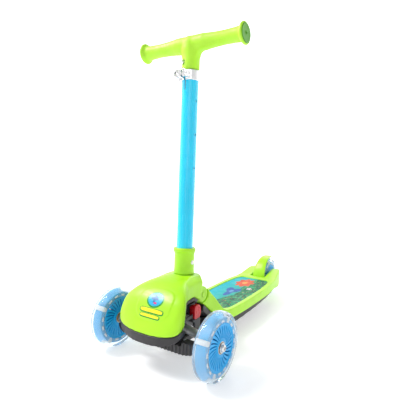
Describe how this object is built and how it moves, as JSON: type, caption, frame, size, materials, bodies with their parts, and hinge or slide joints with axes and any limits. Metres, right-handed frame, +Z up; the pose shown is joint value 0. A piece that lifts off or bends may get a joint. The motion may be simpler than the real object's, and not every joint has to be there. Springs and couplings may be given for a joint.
{
  "type": "kick scooter",
  "caption": "Child's folding kick scooter with two lighted front wheels that steer by leaning, a footboard, a rear foot brake and a height-adjustable T-handlebar.",
  "frame": {"origin": "on the ground under the middle of the scooter's bounding box", "axes": "+Z up; -Y towards the nose with the two front wheels, +Y towards the rear wheel; X across the scooter"},
  "size_m": [0.2746, 0.592, 0.6219],
  "materials": {
    "lime_plastic": "satin",
    "dark_lime_plastic": "matte",
    "lime_grip": "fine texture",
    "black_plastic": "moulded texture",
    "black_rubber": "matte",
    "mat_print": "printed, fine texture",
    "blue_tube": "gloss",
    "inner_steel": "brushed",
    "chrome": "polished",
    "zinc": "bright zinc",
    "grey_cast": "cast, satin",
    "red_plastic": "satin",
    "clear_tyre": "clear polyurethane",
    "blue_core": "satin",
    "white_module": "satin",
    "blue_hub": "satin",
    "bearing_steel": "with tan seals"
  },
  "bodies": {
    "deck": {"deck_shell": "lime_plastic", "deck_underbody": "black_plastic", "grip_mat": "mat_print", "neck_liner": "black_plastic", "deck_screws": "zinc", "rear_axle_bolt": "zinc", "rear_axle_nut": "zinc", "rear_spacers": "black_plastic", "brake_pin": "zinc"},
    "brake": {"brake_fender": "lime_plastic"},
    "rear_wheel": {"rear_tyre": "clear_tyre", "rear_core_ring": "blue_core", "rear_light_modules": "white_module", "rear_hub": "blue_hub", "rear_bearings": "bearing_steel"},
    "front_unit": {"hood_shield": "lime_plastic", "hood_core": "lime_plastic", "hood_liner": "black_plastic", "front_base": "black_plastic", "fold_pin": "zinc", "steering_tube": "blue_tube", "steering_collar": "lime_plastic", "collar_screw": "zinc", "clamp_band": "chrome", "clamp_bolt": "zinc", "clamp_nut": "chrome", "latch_housing": "black_plastic", "latch_spring": "zinc", "pivot_bracket": "grey_cast", "pivot_bushes": "black_rubber", "kingpin": "zinc"},
    "fold_latch": {"latch_button": "red_plastic"},
    "clamp_handle": {"clamp_lever": "chrome"},
    "axle": {"axle_hanger": "grey_cast", "axle_cover": "black_plastic", "left_axle_bolt": "zinc", "right_axle_bolt": "zinc"},
    "left_wheel": {"left_tyre": "clear_tyre", "left_core_ring": "blue_core", "left_light_modules": "white_module", "left_hub": "blue_hub", "left_bearings": "bearing_steel"},
    "right_wheel": {"right_tyre": "clear_tyre", "right_core_ring": "blue_core", "right_light_modules": "white_module", "right_hub": "blue_hub", "right_bearings": "bearing_steel"},
    "t_bar": {"handlebar": "lime_grip", "grip_end_caps": "dark_lime_plastic", "inner_tube": "inner_steel", "height_detent": "zinc"},
    "snap_button": {"stem_button": "zinc"}
  },
  "joints": [
    {"name": "fold", "type": "hinge", "parent": "deck", "child": "front_unit", "pos_m": [0, -0.16, 0.115], "axis": [-1, 0, 0], "range_deg": [0, 78]},
    {"name": "lean_steer", "type": "hinge", "parent": "front_unit", "child": "axle", "pos_m": [0, -0.206, 0.065], "axis": [0, -0.8192, 0.5736], "range_deg": [-6, 6], "stiffness_Nm_per_rad": 30},
    {"name": "left_wheel_spin", "type": "hinge", "parent": "axle", "child": "left_wheel", "pos_m": [-0.12, -0.236, 0.06], "axis": [1, 0, 0], "continuous": true},
    {"name": "right_wheel_spin", "type": "hinge", "parent": "axle", "child": "right_wheel", "pos_m": [0.12, -0.236, 0.06], "axis": [1, 0, 0], "continuous": true},
    {"name": "rear_wheel_spin", "type": "hinge", "parent": "deck", "child": "rear_wheel", "pos_m": [0, 0.246, 0.05], "axis": [1, 0, 0], "continuous": true},
    {"name": "foot_brake", "type": "hinge", "parent": "deck", "child": "brake", "pos_m": [0, 0.188, 0.049], "axis": [-1, 0, 0], "range_deg": [0, 3.5], "stiffness_Nm_per_rad": 5, "springref_deg": -2.86},
    {"name": "bar_height", "type": "slide", "parent": "front_unit", "child": "t_bar", "axis": [0, 0.0581, 0.9983], "range_m": [0, 0.195]},
    {"name": "clamp_lever", "type": "hinge", "parent": "front_unit", "child": "clamp_handle", "pos_m": [-0.014, -0.16813, 0.54151], "axis": [0, 0.0581, 0.9983], "range_deg": [0, 110]},
    {"name": "latch_press", "type": "slide", "parent": "front_unit", "child": "fold_latch", "axis": [-1, 0, 0], "range_m": [0, 0.006], "stiffness_N_per_m": 300, "springref_m": -0.003},
    {"name": "snap_press", "type": "slide", "parent": "t_bar", "child": "snap_button", "axis": [0.454, 0.8895, -0.0518], "range_m": [0, 0.004], "stiffness_N_per_m": 300, "springref_m": -0.003}
  ]
}
